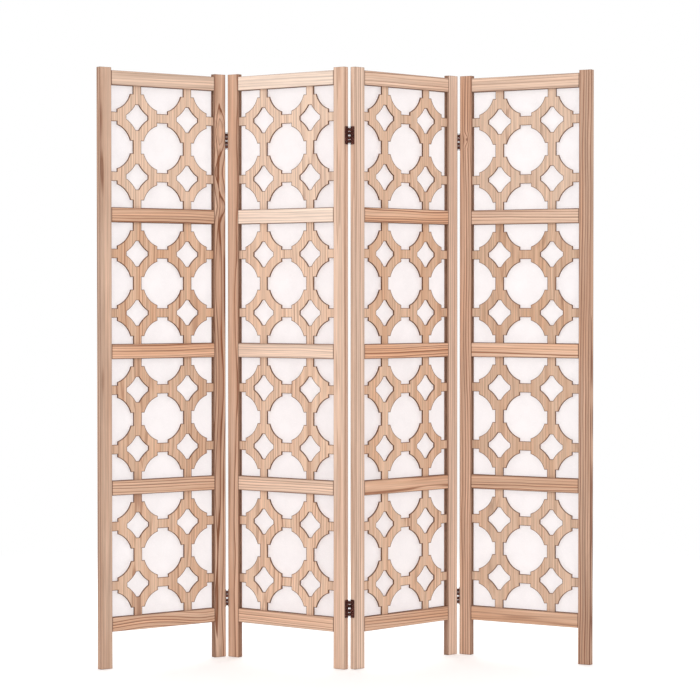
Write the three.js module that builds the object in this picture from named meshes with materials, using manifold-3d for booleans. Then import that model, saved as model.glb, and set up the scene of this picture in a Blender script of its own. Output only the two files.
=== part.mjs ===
// A free-standing four-panel folding screen with pierced lattice panels.
// Millimetres, +Z up. The front faces -Y. The origin is the middle of the footprint, on the floor.
// Each panel is a grooved frame of two stiles and five rails. Four lattice sheets sit in the grooves,
// a thin backing sheet covers the frame's back, and butt hinges join each panel to the next.

import * as THREE from "three";
import { mergeVertices } from "three/addons/utils/BufferGeometryUtils.js";
import Module from "manifold-3d";

const wasm = await Module();
wasm.setup();

// ---- driving dimensions ----

const PANEL_HEIGHT = 1700;
const STILE_WIDTH = 38;
const FRAME_THICKNESS = 18;
const RAIL_HEIGHT = 40;
const CELL_SIZE = 347;             // clear square opening between the stiles and between the rails
const CELLS_PER_PANEL = 4;
const BOTTOM_RAIL_Z = 104;         // underside of the lowest rail
const PANEL_WIDTH = CELL_SIZE + 2 * STILE_WIDTH;
const RAIL_PITCH = CELL_SIZE + RAIL_HEIGHT;

// How far each panel's direction, seen from above, turns from +X (degrees).
const PANEL_HEADINGS = [36.5, -36.4, 44.4, -30.8];

const GAP = 0.3;                   // between pieces that touch
const CUT_MARGIN = 1;              // how far a cutting solid passes the face that it cuts

// grooves that hold the lattice sheets
const LATTICE_THICKNESS = 4;
const LATTICE_SETBACK = 7;         // from the frame's front face to the lattice's front face
const GROOVE_DEPTH = 5.5;
const GROOVE_START = LATTICE_SETBACK - GAP;
const GROOVE_WIDTH = LATTICE_THICKNESS + 2 * GAP;

// lattice pattern: notched circles on a square grid, with a pointed opening between each four
const CIRCLE_PITCH = 168.6;
const CIRCLE_RADIUS = 64.5;
const NOTCH_REACH = 71;
const NOTCH_HALF_WIDTH = 18;
const RING_OUTER_RADIUS = 92.5;
const STAR_REACH = 36;
const LATTICE_RIM = 1.5;           // narrow rim of the lattice that shows inside the frame
const CIRCLE_STEPS = 3;            // straight steps in each arc between two notches
const STAR_STEPS = 2;

// backing sheet, glued and stapled to the back of the frame
const BACKING_THICKNESS = 0.5;
const BACKING_LAP = 14;            // how far it laps onto the frame all round

// butt hinges
const HINGE_LENGTH = 51;
const HINGE_CENTRES_Z = [171.5, 1507.5];
const HINGE_GAP = 4.2;             // between two stiles when their panels lie in line
const PIN_OFFSET = 2.8;            // from the face of the frame to the pin's axis
const PIN_LENGTH = 50;
const PIN_RADIUS = 0.8;
const BORE_RADIUS = 1.2;
const BARREL_RADIUS = 3;
const BARREL_LENGTH = 42;
const MIDDLE_GAP = 4.4;            // between the plain leaf's two knuckles
const KNUCKLE_GAP = 1.4;           // from each of them to the pin leaf's knuckle beside it
const LEAF_THICKNESS = 1.2;
const LEAF_REACH = 16;             // from the frame's face to the leaf's far edge
const LEAF_CLEARANCE = 0.5;        // between a leaf and the barrel that turns beside it
const SCREW_HOLE_RADIUS = 1.9;
const SCREW_PLACES = [[4.5, -17], [11, 0], [4.5, 17]];   // across the leaf, along the leaf
const BARREL_SIDES = 8;
const HOLE_SIDES = 6;

// ---- materials ----

// Each mesh has a material of its own, made by calling the finish.
function finish(color, roughness, metalness = 0) {
  return () => new THREE.MeshStandardMaterial({ color, roughness, metalness });
}

const pine = finish(0xd2ac90, 0.6);
const latticeWood = finish(0xdcb288, 0.65);
const paper = finish(0xf5f1f0, 0.9);
const bronzedSteel = finish(0x4a3a30, 0.45, 0.8);

// ---- solids ----

function toSolid(geometry) {
  const plain = geometry.index ? geometry.toNonIndexed() : geometry.clone();
  plain.deleteAttribute("normal");
  plain.deleteAttribute("uv");
  const merged = mergeVertices(plain, 1e-4);
  return new wasm.Manifold(new wasm.Mesh({
    numProp: 3,
    vertProperties: new Float32Array(merged.attributes.position.array),
    triVerts: new Uint32Array(merged.index.array),
  }));
}

function toGeometry(solid) {
  const mesh = solid.getMesh();
  const geometry = new THREE.BufferGeometry();
  geometry.setAttribute("position", new THREE.BufferAttribute(new Float32Array(mesh.vertProperties), 3));
  geometry.setIndex(new THREE.BufferAttribute(new Uint32Array(mesh.triVerts), 1));
  geometry.computeVertexNormals();
  return geometry;
}

// The mirror image in X, in Y or in both. One mirror turns the faces inside out, so each triangle
// is turned round again.
function mirrored(geometry, x, y) {
  geometry.scale(x, y, 1);
  if (x * y < 0) {
    const index = geometry.index.array;
    for (let i = 0; i < index.length; i += 3) {
      [index[i + 1], index[i + 2]] = [index[i + 2], index[i + 1]];
    }
  }
  geometry.computeVertexNormals();
  return geometry;
}

// A box between two corners.
function box(low, high) {
  const size = high.map((value, axis) => value - low[axis]);
  const geometry = new THREE.BoxGeometry(...size);
  geometry.translate(...high.map((value, axis) => (value + low[axis]) / 2));
  return geometry;
}

// A round solid that stands along Z, from [radius, height] points.
function turned(profile) {
  const points = profile.map(([radius, z]) => new THREE.Vector2(radius, z));
  return new THREE.LatheGeometry(points, BARREL_SIDES).rotateX(Math.PI / 2);
}

// ---- frame members, in the panel's own frame: X along the panel, Y from front to back ----

const TOP_RAIL_TOP = BOTTOM_RAIL_Z + CELLS_PER_PANEL * RAIL_PITCH + RAIL_HEIGHT;

// A stile, with its inner edge at X = 0 and its body towards -X.
function stileGeometry() {
  const body = box([-STILE_WIDTH, 0, 0], [0, FRAME_THICKNESS, PANEL_HEIGHT]);
  const groove = box(
    [-GROOVE_DEPTH, GROOVE_START, BOTTOM_RAIL_Z + GROOVE_DEPTH],
    [CUT_MARGIN, GROOVE_START + GROOVE_WIDTH, TOP_RAIL_TOP - GROOVE_DEPTH]);
  return toGeometry(toSolid(body).subtract(toSolid(groove)));
}

// A rail between the stiles. Its left end is at X = 0 and its underside at Z = 0. A stub tenon at
// each end sits in the stile's groove.
function railGeometry(grooveBelow, grooveAbove) {
  const low = GAP;
  const high = CELL_SIZE - GAP;
  let rail = toSolid(box([low, 0, 0], [high, FRAME_THICKNESS, RAIL_HEIGHT]));
  const cuts = [];
  if (grooveBelow) cuts.push([-CUT_MARGIN, GROOVE_DEPTH]);
  if (grooveAbove) cuts.push([RAIL_HEIGHT - GROOVE_DEPTH, RAIL_HEIGHT + CUT_MARGIN]);
  for (const [bottom, top] of cuts) {
    rail = rail.subtract(toSolid(box(
      [low - CUT_MARGIN, GROOVE_START, bottom],
      [high + CUT_MARGIN, GROOVE_START + GROOVE_WIDTH, top])));
  }
  const tenonReach = GROOVE_DEPTH - GAP;
  const tenonInset = GROOVE_DEPTH + GAP;
  const tenon = box(
    [-tenonReach, LATTICE_SETBACK, tenonInset],
    [CELL_SIZE + tenonReach, LATTICE_SETBACK + LATTICE_THICKNESS, RAIL_HEIGHT - tenonInset]);
  return toGeometry(rail.add(toSolid(tenon)));
}

// ---- lattice ----

// Points of an arc about a centre, from one angle to another.
function arc(cx, cy, radius, from, to, steps) {
  const points = [];
  for (let i = 0; i <= steps; i += 1) {
    const angle = from + (to - from) * i / steps;
    points.push([cx + radius * Math.cos(angle), cy + radius * Math.sin(angle)]);
  }
  return points;
}

// A circle with a square notch on each of its four sides.
function notchedCircle(cx, cy) {
  const half = Math.asin(NOTCH_HALF_WIDTH / CIRCLE_RADIUS);
  const points = [];
  for (let side = 0; side < 4; side += 1) {
    const axis = side * Math.PI / 2;
    const [c, s] = [Math.cos(axis), Math.sin(axis)];
    for (const across of [-NOTCH_HALF_WIDTH, NOTCH_HALF_WIDTH]) {
      points.push([cx + NOTCH_REACH * c - across * s, cy + NOTCH_REACH * s + across * c]);
    }
    points.push(...arc(cx, cy, CIRCLE_RADIUS, axis + half, axis + Math.PI / 2 - half, CIRCLE_STEPS));
  }
  return points;
}

// The pointed opening between four rings: four inward arcs joined by short flats.
function starOpening(cx, cy) {
  const offset = CIRCLE_PITCH / 2;
  const start = Math.acos((offset - STAR_REACH) / RING_OUTER_RADIUS);
  const points = [];
  for (let side = 0; side < 4; side += 1) {
    const axis = side * Math.PI / 2;
    const [ux, uy] = [Math.cos(axis), Math.sin(axis)];
    const centreX = cx + offset * (ux - uy);
    const centreY = cy + offset * (uy + ux);
    const towards = axis + Math.PI;
    points.push(...arc(
      centreX, centreY, RING_OUTER_RADIUS,
      towards + start, towards + Math.PI / 2 - start, STAR_STEPS));
  }
  return points;
}

function extruded(points, depth) {
  const shape = new THREE.Shape(points.map(([x, y]) => new THREE.Vector2(x, y)));
  return new THREE.ExtrudeGeometry(shape, { depth, bevelEnabled: false, steps: 1 });
}

// A lattice sheet, centred on X and Z, with its front face at Y = 0. The circles round its border
// are cut off at the rim.
function latticeGeometry() {
  const half = CELL_SIZE / 2 + GROOVE_DEPTH - GAP;
  const clear = CELL_SIZE / 2 - LATTICE_RIM;
  const square = (size) => [[-size, -size], [size, -size], [size, size], [-size, size]];
  const cutter = (points) => toSolid(
    extruded(points, LATTICE_THICKNESS + 2 * CUT_MARGIN).translate(0, 0, -CUT_MARGIN));
  const window = cutter(square(clear));
  let sheet = toSolid(extruded(square(half), LATTICE_THICKNESS));
  for (const column of [-1, 0, 1]) {
    for (const row of [-1, 0, 1]) {
      const hole = cutter(notchedCircle(column * CIRCLE_PITCH, row * CIRCLE_PITCH));
      sheet = sheet.subtract(hole.intersect(window));
    }
  }
  for (const column of [-0.5, 0.5]) {
    for (const row of [-0.5, 0.5]) {
      sheet = sheet.subtract(cutter(starOpening(column * CIRCLE_PITCH, row * CIRCLE_PITCH)));
    }
  }
  const geometry = toGeometry(sheet);
  geometry.rotateX(Math.PI / 2);
  geometry.translate(0, LATTICE_THICKNESS, 0);
  return geometry;
}

// ---- backing sheet ----

function backingGeometry() {
  return box(
    [-BACKING_LAP, 0, BOTTOM_RAIL_Z + RAIL_HEIGHT - BACKING_LAP],
    [CELL_SIZE + BACKING_LAP, BACKING_THICKNESS, TOP_RAIL_TOP - RAIL_HEIGHT + BACKING_LAP]);
}

// ---- hinges, in the pin's own frame: the pin stands on Z, the leaf lies along +Y ----

const KNUCKLE_LENGTH = (BARREL_LENGTH - MIDDLE_GAP - 2 * KNUCKLE_GAP) / 4;
const INNER_KNUCKLE = [MIDDLE_GAP / 2, MIDDLE_GAP / 2 + KNUCKLE_LENGTH];
const OUTER_KNUCKLE = [BARREL_LENGTH / 2 - KNUCKLE_LENGTH, BARREL_LENGTH / 2];
const LEAF_OUTER = HINGE_GAP / 2 - GAP;
const LEAF_INNER = LEAF_OUTER - LEAF_THICKNESS;

// Both of a leaf's knuckles, as [low, high], from the one above the middle.
function pair([low, high]) {
  return [[-high, -low], [low, high]];
}

// The flat of a leaf, on the -X side of the pin, with a tab that runs into each knuckle.
function leafPlate(knuckles) {
  const edge = BARREL_RADIUS + LEAF_CLEARANCE;
  let plate = toSolid(box(
    [-LEAF_OUTER, edge, -HINGE_LENGTH / 2],
    [-LEAF_INNER, PIN_OFFSET + LEAF_REACH, HINGE_LENGTH / 2]));
  for (const [low, high] of knuckles) {
    const tab = box([-LEAF_OUTER, BORE_RADIUS, low], [-LEAF_INNER, edge + CUT_MARGIN, high]);
    plate = plate.add(toSolid(tab));
  }
  for (const [across, along] of SCREW_PLACES) {
    const hole = new THREE.CylinderGeometry(
      SCREW_HOLE_RADIUS, SCREW_HOLE_RADIUS, HINGE_GAP * 2, HOLE_SIDES);
    hole.rotateZ(Math.PI / 2);
    hole.translate(0, PIN_OFFSET + across, along);
    plate = plate.subtract(toSolid(hole));
  }
  return plate;
}

// The leaf that carries the riveted pin: a solid knuckle near each end, with the pin through both.
function pinLeafGeometry() {
  const [low, high] = OUTER_KNUCKLE;
  const half = PIN_LENGTH / 2;
  const upper = [[PIN_RADIUS, low], [BARREL_RADIUS, low], [BARREL_RADIUS, high], [PIN_RADIUS, high],
    [PIN_RADIUS, half], [0, half]];
  const lower = upper.map(([radius, z]) => [radius, -z]).reverse();
  const barrel = toSolid(turned([...lower, ...upper]));
  return toGeometry(leafPlate(pair(OUTER_KNUCKLE)).add(barrel));
}

// The leaf with two tubular knuckles that turn on the pin.
function plainLeafGeometry() {
  const knuckles = pair(INNER_KNUCKLE);
  let leaf = leafPlate(knuckles);
  for (const [low, high] of knuckles) {
    const tube = turned([[BORE_RADIUS, low], [BARREL_RADIUS, low], [BARREL_RADIUS, high],
      [BORE_RADIUS, high], [BORE_RADIUS, low]]);
    leaf = leaf.add(toSolid(tube));
  }
  return toGeometry(leaf);
}

// ---- plan of the screen ----

const radians = THREE.MathUtils.degToRad;

// A panel's directions in plan: along it, and from its front to its back.
function planAxes(heading) {
  const angle = radians(heading);
  return {
    along: new THREE.Vector2(Math.cos(angle), Math.sin(angle)),
    back: new THREE.Vector2(-Math.sin(angle), Math.cos(angle)),
  };
}

// A point of a panel in plan, given along it and back from its front face.
function planPoint(panel, along, back) {
  return panel.corner.clone()
    .addScaledVector(panel.along, along)
    .addScaledVector(panel.back, back);
}

// Odd joints fold front to front, with the pin on the front. The middle joint folds the other way.
const PIN_BACKS = [-PIN_OFFSET, FRAME_THICKNESS + PIN_OFFSET, -PIN_OFFSET];

function layOut() {
  const panels = [];
  const pins = [];
  PANEL_HEADINGS.forEach((heading, index) => {
    const panel = { heading, corner: new THREE.Vector2(0, 0), ...planAxes(heading) };
    if (index > 0) {
      const pin = pins[index - 1];
      panel.corner = pin.clone()
        .addScaledVector(panel.along, HINGE_GAP / 2)
        .addScaledVector(panel.back, -PIN_BACKS[index - 1]);
    }
    panels.push(panel);
    if (index < PIN_BACKS.length) {
      pins.push(planPoint(panel, PANEL_WIDTH + HINGE_GAP / 2, PIN_BACKS[index]));
    }
  });
  const footprint = new THREE.Box2();
  for (const panel of panels) {
    for (const along of [0, PANEL_WIDTH]) {
      for (const back of [0, FRAME_THICKNESS]) {
        footprint.expandByPoint(planPoint(panel, along, back));
      }
    }
  }
  const centre = footprint.getCenter(new THREE.Vector2());
  panels.forEach((panel) => panel.corner.sub(centre));
  pins.forEach((pin) => pin.sub(centre));
  return { panels, pins };
}

// ---- assembly ----

const screen = new THREE.Group();

function place(parent, name, geometry, material, x, y, z) {
  const mesh = new THREE.Mesh(geometry, material());
  mesh.name = name;
  mesh.position.set(x, y, z);
  parent.add(mesh);
  return mesh;
}

const RAIL_NAMES = ["bottom_rail", "lower_rail", "middle_rail", "upper_rail", "top_rail"];

function addPanel(panel, number) {
  const group = new THREE.Group();
  group.position.set(panel.corner.x, panel.corner.y, 0);
  group.rotation.z = radians(panel.heading);
  screen.add(group);
  const name = (piece) => `panel_${number}_${piece}`;

  place(group, name("left_stile"), stileGeometry(), pine, STILE_WIDTH, 0, 0);
  place(
    group, name("right_stile"), mirrored(stileGeometry(), -1, 1), pine,
    PANEL_WIDTH - STILE_WIDTH, 0, 0);

  RAIL_NAMES.forEach((railName, index) => {
    const geometry = railGeometry(index > 0, index < CELLS_PER_PANEL);
    place(group, name(railName), geometry, pine, STILE_WIDTH, 0, BOTTOM_RAIL_Z + index * RAIL_PITCH);
  });

  for (let cell = 0; cell < CELLS_PER_PANEL; cell += 1) {
    const centreZ = BOTTOM_RAIL_Z + RAIL_HEIGHT + cell * RAIL_PITCH + CELL_SIZE / 2;
    place(
      group, name(`lattice_${cell + 1}`), latticeGeometry(), latticeWood,
      PANEL_WIDTH / 2, LATTICE_SETBACK, centreZ);
  }

  place(group, name("backing_sheet"), backingGeometry(), paper, STILE_WIDTH, FRAME_THICKNESS + GAP, 0);
}

const JOINT_NAMES = ["left", "centre", "right"];

// One joint's hinges. The leaf on the earlier panel carries the pin.
function addHinges(joint, pin, before, after) {
  const pinInFront = PIN_BACKS[joint] < 0;
  HINGE_CENTRES_Z.forEach((z, index) => {
    const level = index === 0 ? "lower" : "upper";
    const name = (leaf) => `${JOINT_NAMES[joint]}_joint_${level}_hinge_${leaf}`;
    const leaves = [
      { panel: before, geometry: pinLeafGeometry(), leaf: "pin_leaf", side: 1 },
      { panel: after, geometry: plainLeafGeometry(), leaf: "plain_leaf", side: -1 },
    ];
    for (const { panel, geometry, leaf, side } of leaves) {
      const group = new THREE.Group();
      group.position.set(pin.x, pin.y, z);
      group.rotation.z = radians(panel.heading);
      screen.add(group);
      const shape = mirrored(geometry, side, pinInFront ? 1 : -1);
      place(group, name(leaf), shape, bronzedSteel, 0, 0, 0);
    }
  });
}

const { panels, pins } = layOut();
panels.forEach((panel, index) => addPanel(panel, index + 1));
pins.forEach((pin, joint) => addHinges(joint, pin, panels[joint], panels[joint + 1]));

export default screen;
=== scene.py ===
# A folding screen of four hinged panels: pierced plywood lattices in bare pine frames, with a thin
# white sheet behind them and small dark hinges. Every piece is built in its panel's own frame,
# in millimetres: X along the panel, Y from its front face to its back, Z up.

import itertools
import math
import random

import bmesh
import bpy
from mathutils import Matrix, Vector


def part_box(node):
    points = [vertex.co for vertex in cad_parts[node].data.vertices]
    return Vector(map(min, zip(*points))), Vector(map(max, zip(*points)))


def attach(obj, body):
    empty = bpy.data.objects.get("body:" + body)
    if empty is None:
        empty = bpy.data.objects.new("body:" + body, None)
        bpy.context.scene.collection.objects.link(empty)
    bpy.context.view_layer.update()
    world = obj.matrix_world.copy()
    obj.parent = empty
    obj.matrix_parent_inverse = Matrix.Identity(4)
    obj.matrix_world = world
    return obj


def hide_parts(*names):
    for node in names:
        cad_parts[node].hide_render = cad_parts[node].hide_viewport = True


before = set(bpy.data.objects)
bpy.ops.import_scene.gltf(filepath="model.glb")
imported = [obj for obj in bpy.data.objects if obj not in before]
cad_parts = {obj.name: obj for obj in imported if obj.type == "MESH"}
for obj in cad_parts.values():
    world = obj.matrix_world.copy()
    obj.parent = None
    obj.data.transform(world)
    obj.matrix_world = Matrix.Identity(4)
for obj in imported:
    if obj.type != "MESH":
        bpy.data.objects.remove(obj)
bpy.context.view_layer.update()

SCENE = bpy.context.scene
MM = 0.001

# ---- driving dimensions, as in the part ----

PANEL_HEIGHT = 1700
STILE_WIDTH = 38
FRAME_THICKNESS = 18
RAIL_HEIGHT = 40
CELL_SIZE = 347
CELLS_PER_PANEL = 4
BOTTOM_RAIL_Z = 104
PANEL_WIDTH = CELL_SIZE + 2 * STILE_WIDTH
RAIL_PITCH = CELL_SIZE + RAIL_HEIGHT
TOP_RAIL_TOP = BOTTOM_RAIL_Z + CELLS_PER_PANEL * RAIL_PITCH + RAIL_HEIGHT
GAP = 0.3

LATTICE_THICKNESS = 4
LATTICE_SETBACK = 7
LATTICE_RIM = 1.5
GROOVE_DEPTH = 5.5
GROOVE_START = LATTICE_SETBACK - GAP
GROOVE_END = LATTICE_SETBACK + LATTICE_THICKNESS + GAP

CIRCLE_PITCH = 168.6
CIRCLE_RADIUS = 64.5
NOTCH_REACH = 71
NOTCH_HALF_WIDTH = 18
RING_OUTER_RADIUS = 92.5
STAR_REACH = 36

BACKING_LAP = 14
BACKING_THICKNESS = 0.5

HINGE_LENGTH = 51
HINGE_CENTRES_Z = [171.5, 1507.5]
HINGE_GAP = 4.2
PIN_OFFSET = 2.8
PIN_LENGTH = 50
PIN_RADIUS = 0.8
BORE_RADIUS = 1.2
BARREL_RADIUS = 3
BARREL_LENGTH = 42
MIDDLE_GAP = 4.4
KNUCKLE_GAP = 1.4
LEAF_THICKNESS = 1.2
LEAF_REACH = 16
LEAF_CLEARANCE = 0.5
SCREW_PLACES = [(4.5, -17), (11, 0), (4.5, 17)]

# ---- sizes of the finish ----

EDGE_RADIUS = 0.8
EDGE_SEGMENTS = 3
SMOOTH_ANGLE = 38  # in degrees: flatter edges are shaded smooth
CIRCLE_ARC_STEPS = 14
STAR_ARC_STEPS = 9
SCORCH_WIDTH = 2.3
FIGURE_STEP = 16  # between the cross cuts that let the grain bend along a board

RAILS = ["bottom_rail", "lower_rail", "middle_rail", "upper_rail", "top_rail"]
PANELS = [1, 2, 3, 4]
JOINTS = ["left", "centre", "right"]


# ---- places ----

def box_centre(node):
    low, high = (Vector(corner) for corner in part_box(node))
    return (low + high) / 2


def panel_place(number):
    """The panel's own frame, found from where its two stiles stand."""
    left = box_centre(f"panel_{number}_left_stile")
    right = box_centre(f"panel_{number}_right_stile")
    along = (right - left).normalized()
    back = Vector((-along.y, along.x, 0))
    corner = left - along * STILE_WIDTH * MM / 2 - back * FRAME_THICKNESS * MM / 2
    corner.z = 0
    return Matrix.Translation(corner) @ Matrix.Rotation(math.atan2(along.y, along.x), 4, "Z")


PLACES = {number: panel_place(number) for number in PANELS}


# ---- shader helpers ----

def linear(red, green, blue):
    """A colour given as 0 to 255 on the screen, as a linear colour with alpha."""
    def channel(value):
        value /= 255
        return value / 12.92 if value <= 0.04045 else ((value + 0.055) / 1.055) ** 2.4
    return (channel(red), channel(green), channel(blue), 1.0)


def grey(value):
    return (value, value, value, 1.0)


class Shader:
    """The nodes of a material, or of the world, under construction."""

    def __init__(self, owner):
        self.owner = owner
        owner.use_nodes = True
        self.tree = owner.node_tree
        self.tree.nodes.clear()

    def feed(self, socket, value):
        """Links a socket to another one, or sets its value."""
        if isinstance(value, bpy.types.NodeSocket):
            self.tree.links.new(value, socket)
        else:
            socket.default_value = value

    def node(self, kind, inputs=None, **settings):
        made = self.tree.nodes.new(kind)
        for key, value in settings.items():
            setattr(made, key, value)
        for key, value in (inputs or {}).items():
            self.feed(made.inputs[key], value)
        return made

    def math(self, operation, *values, clamp=False):
        inputs = dict(enumerate(values))
        return self.node("ShaderNodeMath", inputs, operation=operation, use_clamp=clamp).outputs[0]

    def vector(self, operation, *values):
        made = self.node("ShaderNodeVectorMath", dict(enumerate(values)), operation=operation)
        return made.outputs["Value" if operation == "LENGTH" else "Vector"]

    def separate(self, vector):
        return self.node("ShaderNodeSeparateXYZ", {0: vector}).outputs

    def attribute(self, name, output="Fac"):
        made = self.node("ShaderNodeAttribute", attribute_name=name, attribute_type="GEOMETRY")
        return made.outputs[output]

    def object_place(self):
        return self.node("ShaderNodeTexCoord").outputs["Object"]

    def noise(self, vector, detail=2.0, roughness=0.5, scale=1.0):
        """Both outputs: 0 is the value, and "Color" three values."""
        inputs = {"Vector": vector, "Scale": scale, "Detail": detail, "Roughness": roughness}
        return self.node("ShaderNodeTexNoise", inputs).outputs

    def smooth(self, value, start, end, low=0.0, high=1.0):
        inputs = {"Value": value, "From Min": start, "From Max": end, "To Min": low, "To Max": high}
        return self.node("ShaderNodeMapRange", inputs, interpolation_type="SMOOTHSTEP").outputs[0]

    def mix(self, factor, first, second, blend="MIX"):
        made = self.node("ShaderNodeMix", data_type="RGBA", blend_type=blend)
        sockets = {socket.identifier: socket for socket in made.inputs}
        for name, value in (("Factor_Float", factor), ("A_Color", first), ("B_Color", second)):
            self.feed(sockets[name], value)
        return next(item for item in made.outputs if item.identifier == "Result_Color")

    def ramp(self, factor, stops):
        made = self.node("ShaderNodeValToRGB", {"Fac": factor})
        elements = made.color_ramp.elements
        while len(elements) > 1:
            elements.remove(elements[-1])
        elements[0].position, elements[0].color = stops[0]
        for position, color in stops[1:]:
            elements.new(position).color = color
        return made.outputs["Color"]

    def bump(self, height, strength, distance):
        inputs = {"Height": height, "Strength": strength, "Distance": distance}
        return self.node("ShaderNodeBump", inputs).outputs[0]

    def principled(self, color, roughness, normal, specular=0.5, metallic=0.0):
        return self.node("ShaderNodeBsdfPrincipled", {
            "Base Color": color, "Roughness": roughness, "Normal": normal,
            "Specular IOR Level": specular, "Metallic": metallic}).outputs[0]

    def mix_surfaces(self, factor, first, second):
        return self.node("ShaderNodeMixShader", {0: factor, 1: first, 2: second}).outputs[0]

    def finish(self, surface, output="ShaderNodeOutputMaterial"):
        self.node(output, {"Surface": surface})
        return self.owner


# ---- materials ----

# Noise cells in a metre of wood: twice across the fibres, and along them.
DRIFT_SCALE = (7, 7, 2.3)
RING_NOISE_SCALE = (60, 60, 0)
FIBRE_SCALE = (900, 900, 22)
STREAK_SCALE = (230, 230, 3.2)
PATCH_SCALE = (34, 34, 1.7)

# How dark a growth ring is, from the start of the year to its end.
RING_PROFILE = [(0.0, 0.0), (0.4, 0.06), (0.72, 0.3), (0.86, 1.0), (0.93, 0.9), (1.0, 0.0)]

# A knot's sizes in metres, and how far each metre across, through and along the board counts.
KNOT_RADIUS = 0.0045
KNOT_CORE = 0.0015
SWIRL_RADIUS = 0.018
SWIRL_SHIFT = 0.008
KNOT_STRETCH = (1, 0, 0.62)

# Metres from a board's side where its darkening starts, and where it is full.
EDGE_DARKENING_WIDTHS = (0.0022, 0.0006)
# At a rail's ends the darkening is painted shade in its seams against the stiles.
END_DARKENING_WIDTHS = (0.0024, 0.0008)
EDGE_DARKNESS = 0.5
# How strong the painted shade is on a board's faces that look into the openings.
INNER_PAINTED_SHADE = 0.85

PLIES = 3
PALE_WOOD = linear(247, 230, 215)
KNOT_WOOD = linear(112, 66, 44)


def bent_grain(shader, grain, figure, wander):
    """Places in the log, shifted so that the growth rings wander, with Z left out."""
    drift = shader.noise(shader.vector("MULTIPLY", grain, DRIFT_SCALE))["Color"]
    drift = shader.vector("SUBTRACT", drift, (0.5, 0.5, 0.5))
    reach = shader.math("MULTIPLY_ADD", figure, 2.2 * wander, wander)
    scaled = shader.node("ShaderNodeVectorMath", {0: drift, "Scale": reach}, operation="SCALE")
    return shader.vector("MULTIPLY", shader.vector("ADD", grain, scaled.outputs["Vector"]), (1, 1, 0))


def ring_lines(shader, bent, swirl, spacing):
    """The growth rings' dark lines, stronger in some years than in others."""
    radius = shader.math("ADD", shader.vector("LENGTH", bent), swirl)
    rings = shader.math("DIVIDE", radius, spacing)
    uneven = shader.noise(shader.vector("MULTIPLY", bent, RING_NOISE_SCALE), detail=1.0)[0]
    rings = shader.math("MULTIPLY_ADD", uneven, 1.6, rings)
    phase = shader.math("FRACT", rings)
    line = shader.ramp(phase, [(place, grey(darkness)) for place, darkness in RING_PROFILE])
    year = shader.math("FLOOR", rings)
    strength = shader.node("ShaderNodeTexWhiteNoise", {"W": year}, noise_dimensions="1D").outputs[0]
    strength = shader.math("MULTIPLY_ADD", strength, 0.9, 0.25)
    return shader.math("MULTIPLY", line, strength)


def darkened_edges_and_painted_shade(shader, color, half_size, end_darkness):
    """Darkens a board's edges and ends, the rails' ends with painted shade in their seams against
    the stiles, and paints shade on its faces that look into the openings.
    """
    place = shader.vector("ABSOLUTE", shader.attribute("place", "Vector"))
    from_side = shader.separate(shader.vector("SUBTRACT", half_size, place))
    from_edge = shader.math("MAXIMUM", from_side[0], from_side[1])
    edge_share = shader.smooth(from_edge, *EDGE_DARKENING_WIDTHS, 0.0, EDGE_DARKNESS)
    end_share = shader.smooth(from_side[2], *END_DARKENING_WIDTHS, 0.0, end_darkness)
    # Painted shade on the faces that look into the openings, darker towards the back.
    inner_shade_share = shader.math("MULTIPLY", shader.attribute("inner"), INNER_PAINTED_SHADE)
    color = shader.mix(inner_shade_share, color, linear(124, 84, 60))
    color = shader.mix(edge_share, color, linear(108, 70, 48))
    # At the rails' ends this is painted shade in the seams against the stiles.
    return shader.mix(end_share, color, linear(92, 58, 40))


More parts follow.
